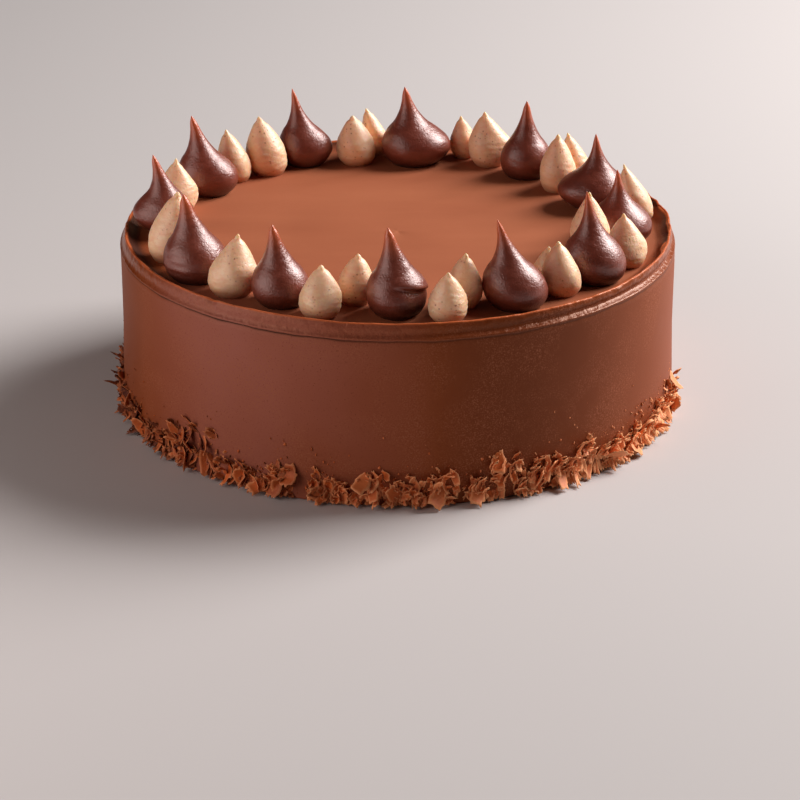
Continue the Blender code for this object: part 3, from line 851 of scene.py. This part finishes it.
def more_by(add, value, factor, base):
    """A base value and a value times a factor, added up."""
    return add("ShaderNodeMath", {0: value, 1: factor, 2: base}, operation="MULTIPLY_ADD").outputs[0]


def noise(add, place, scale, detail):
    """A cloudy value from 0 to 1."""
    return add("ShaderNodeTexNoise", {"Vector": place, "Scale": scale, "Detail": detail}).outputs["Fac"]


def pits(add, place, scale):
    """The distance to the nearest of many scattered points, in parts of their usual gap."""
    return add("ShaderNodeTexVoronoi", {"Vector": place, "Scale": scale}).outputs["Distance"]


def mark(add, name):
    """A value that the mesh's points carry."""
    return add("ShaderNodeAttribute", attribute_name=name).outputs["Fac"]


def bumps(add, tree, shader, layers):
    """Bumps laid over one another on a shader, each (height, strength, distance)."""
    normal = {}
    for height, strength, distance in layers:
        node = add("ShaderNodeBump", {"Height": height, "Strength": strength, "Distance": distance, **normal})
        normal = {"Normal": node.outputs[0]}
    tree.links.new(normal["Normal"], shader.inputs["Normal"])


def set_shader(shader, settings):
    """Numbers and colours that are the same all over a surface."""
    for name, value in settings.items():
        shader.inputs[name].default_value = value


def icing_colour(add, place, grain, patches):
    """A top with faint streaks, painted lighter than the wall as if lit from above, with painted shade at its
    edge and on the slope; a wall with a painted sheen at the left front, painted shade at the front right and
    the left, mottled speckle and pores; a painted highlight along the thin lip; and painted shade in the
    crease."""
    streaked = add("ShaderNodeMapping", {"Vector": place, "Scale": (0.3, 1.0, 1.0)}).outputs[0]
    streaks = noise(add, streaked, 45, 4)
    broad = noise(add, place, 13, 2)
    matte, painted_sheen_and_shade = mark(add, "matte"), mark(add, "painted_sheen_and_shade")
    top = mix_colour(add, ramp(add, streaks, 0.3, 0.7), "top_dark", "top_light")
    wall = mix_colour(add, ramp(add, broad, 0.35, 0.65), "wall_dark", "wall_light")
    # A painted sheen on the wall at the left front, broken into clouds
    clouded = product(add, ramp(add, painted_sheen_and_shade, -0.15, 1.2), ramp(add, broad, 0.15, 0.6))
    wall = mix_colour(add, clouded, wall, "wall_painted_sheen")
    # Painted shade on the wall at the front right and the left
    wall = mix_colour(add, ramp(add, painted_sheen_and_shade, 0.0, -1.6), wall, "wall_shade")
    speckle = product(add, ramp(add, grain, 0.48, 0.74), ramp(add, patches, 0.40, 0.60))
    wall = mix_colour(add, speckle, wall, "wall_speckle")
    wall = mix_colour(add, ramp(add, grain, 0.38, 0.2), wall, "wall_pore")
    # The top, painted lighter than the wall as if lit from above, falls to the wall's colour as painted shade
    # at its edge
    base = mix_colour(add, ramp(add, matte, 0, 1), wall, top)
    # Painted shade on the slope
    base = mix_colour(add, ramp(add, matte, -0.01, -0.7), base, "slope_shade")
    # Painted highlight along the lip's lit edge
    base = mix_colour(add, ramp(add, mark(add, "lip"), 0.1, 1.1), base, "lip")
    # Painted shade in the crease
    return mix_colour(add, mark(add, "crease"), base, "crease")


def icing_material():
    """Chocolate icing: satin on the wall, duller on the top and glossier and rougher at the rim."""
    material, tree, shader, add = new_material("chocolate_icing")
    place = add("ShaderNodeTexCoord").outputs["Object"]
    grain = noise(add, place, 2100, 2)
    patches = noise(add, place, 60, 5)
    tree.links.new(icing_colour(add, place, grain, patches), shader.inputs["Base Color"])
    rim = mark(add, "rim")
    rough = more_by(add, ramp(add, mark(add, "matte"), 0, 1), 0.1, rescaled(add, patches, 0.52, 0.66))
    tree.links.new(more_by(add, rim, -0.30, rough), shader.inputs["Roughness"])
    bumps(add, tree, shader, [
        (noise(add, place, 430, 3), ramp(add, rim, 0, 2.0), 0.0009),
        (grain, rescaled(add, rim, 0.07, 0.12), 0.0004),
        (ramp(add, pits(add, place, 420), 0.0, 0.28), 0.04, 0.0003),
    ])
    set_shader(shader, {"Specular IOR Level": 0.32, "Specular Tint": colour("icing_gloss")})
    return material


def cream_grain(add, place, across, size):
    """Fine uneven wrinkles that run round a drop, and a finer grain over them: two noise values."""
    stretched = add("ShaderNodeMapping", {"Vector": place, "Scale": (1.0, 1.0, across)}).outputs[0]
    wrinkles = add("ShaderNodeTexNoise", {"Vector": stretched, "Scale": size, "Detail": 5, "Distortion": 0.6})
    return wrinkles.outputs["Fac"], noise(add, place, 1700, 2)


def dark_cream_material():
    """Satin dark chocolate cream, finely wrinkled, with its thin tips painted orange brown as a glow of light
    through them, and painted shade at its feet and under its folds.
    """
    material, tree, shader, add = new_material("dark_cream")
    place = add("ShaderNodeTexCoord").outputs["Object"]
    wrinkles, grain = cream_grain(add, place, 2.0, 330)
    base = mix_colour(add, ramp(add, wrinkles, 0.3, 0.7), "dark_low", "dark_high")
    # Painted glow of light through the thin tip
    base = mix_colour(add, ramp(add, mark(add, "tip"), 0, 0.85), base, "dark_tip_glow")
    # Painted shade at the foot and under any fold
    base = mix_colour(add, ramp(add, mark(add, "foot"), 0, 1.0), base, "dark_foot_shade")
    tree.links.new(base, shader.inputs["Base Color"])
    tree.links.new(rescaled(add, wrinkles, 0.24, 0.46), shader.inputs["Roughness"])
    bumps(add, tree, shader, [(wrinkles, 0.26, 0.0006), (grain, 0.48, 0.0003)])
    set_shader(shader, {"Specular IOR Level": 1.0, "Specular Tint": colour("dark_gloss")})
    return material


def pale_cream_material():
    """Soft pale chocolate cream with fine wrinkles and pits, and painted shade at the foot."""
    material, tree, shader, add = new_material("pale_cream")
    place = add("ShaderNodeTexCoord").outputs["Object"]
    wrinkles, grain = cream_grain(add, place, 2.2, 330)
    pores = pits(add, place, 620)
    base = mix_colour(add, ramp(add, wrinkles, 0.3, 0.7), "pale_low", "pale_high")
    # Painted shade at the foot
    base = mix_colour(add, ramp(add, mark(add, "foot"), 0, 1.1), base, "pale_foot_shade")
    speckle = product(add, ramp(add, pores, 0.28, 0.1), ramp(add, noise(add, place, 170, 1), 0.42, 0.66))
    tree.links.new(mix_colour(add, speckle, base, "pale_pit"), shader.inputs["Base Color"])
    bumps(add, tree, shader, [
        (ramp(add, pores, 0.0, 0.2), 0.3, 0.0004), (wrinkles, 0.22, 0.0006), (grain, 0.4, 0.0003),
    ])
    set_shader(shader, {"Roughness": 0.46, "Specular IOR Level": 1.0, "Subsurface Weight": 0.45,
                        "Subsurface Radius": (1.0, 0.55, 0.25), "Subsurface Scale": 0.005})
    return material


def flake_material():
    """Milk chocolate shavings, from dark brown over rust to tan by each one's own tone and by painted light
    that makes them lighter towards the right, with a painted highlight at the broken rim of the light ones."""
    material, tree, shader, add = new_material("chocolate_flakes")
    place = add("ShaderNodeTexCoord").outputs["Object"]
    grain = noise(add, place, 1300, 3)
    tone_and_side_light = mark(add, "tone_and_side_light")
    # These mix by a value that is partly each flake's own tone and partly painted light from the right
    base = mix_colour(add, ramp(add, tone_and_side_light, 0.0, 0.5), "flake_dark", "flake_rust")
    base = mix_colour(add, ramp(add, tone_and_side_light, 0.55, 1.0), base, "flake_tan")
    base = mix_colour(add, ramp(add, grain, 0.4, 1.3), base, "flake_grain")
    # Painted highlight at the rims of the lighter flakes
    lit_edge = product(add, mark(add, "edge"), tone_and_side_light)
    tree.links.new(mix_colour(add, lit_edge, base, "flake_lit_edge"), shader.inputs["Base Color"])
    bumps(add, tree, shader, [(grain, 0.3, 0.0003)])
    set_shader(shader, {"Roughness": 0.55, "Specular IOR Level": 0.25})
    return material


# Stage, light and camera

def make_floor():
    """A plain pale floor under the cake."""
    bpy.ops.mesh.primitive_plane_add(size=FLOOR_SIZE)
    floor = bpy.context.object
    floor.name = "floor"
    material, _, shader, _ = new_material("pale_floor")
    set_shader(shader, {"Base Color": colour("floor"), "Roughness": 0.7})
    floor.data.materials.append(material)


def soft_light(name, azimuth, elevation, distance, size, power, tint):
    """A square soft light that faces the cake from an azimuth and elevation."""
    light = bpy.data.lights.new(name, "AREA")
    light.energy = power
    light.size = size
    light.color = tint
    lamp = bpy.data.objects.new(name, light)
    a, e = math.radians(azimuth), math.radians(elevation)
    aim = Vector((0, 0, TOP_HEIGHT))
    reach = Vector((math.cos(a) * math.cos(e), math.sin(a) * math.cos(e), math.sin(e)))
    lamp.location = aim + reach * distance
    lamp.rotation_euler = reach.to_track_quat("Z", "Y").to_euler()
    bpy.context.scene.collection.objects.link(lamp)


def make_light():
    """A large key from the right and slightly behind, a near fill from the left front, and a dim sky."""
    for name, light in LIGHTS.items():
        soft_light(name, **light)
    world = bpy.data.worlds.new("studio")
    world.use_nodes = True
    sky = world.node_tree.nodes["Background"]
    sky.inputs["Color"].default_value = SKY_COLOUR
    sky.inputs["Strength"].default_value = SKY_STRENGTH
    bpy.context.scene.world = world


def make_camera():
    """The camera, level from side to side, tipped down at the cake and turned a little to the right."""
    lens = bpy.data.cameras.new("camera")
    lens.lens = CAMERA_LENS
    lens.clip_start = 0.01
    camera = bpy.data.objects.new("camera", lens)
    camera.location = CAMERA_PLACE
    camera.rotation_euler = (math.radians(90 - CAMERA_PITCH), 0, -math.radians(CAMERA_YAW))
    bpy.context.scene.collection.objects.link(camera)
    bpy.context.scene.camera = camera


make_camera()
make_icing(icing_material())
make_drops({"dark": dark_cream_material(), "pale": pale_cream_material()})
flakes = flake_material()
make_flakes(flakes)
make_shavings(flakes)
make_crumbs(flakes)
make_floor()
make_light()
bpy.context.scene.view_settings.view_transform = "Standard"
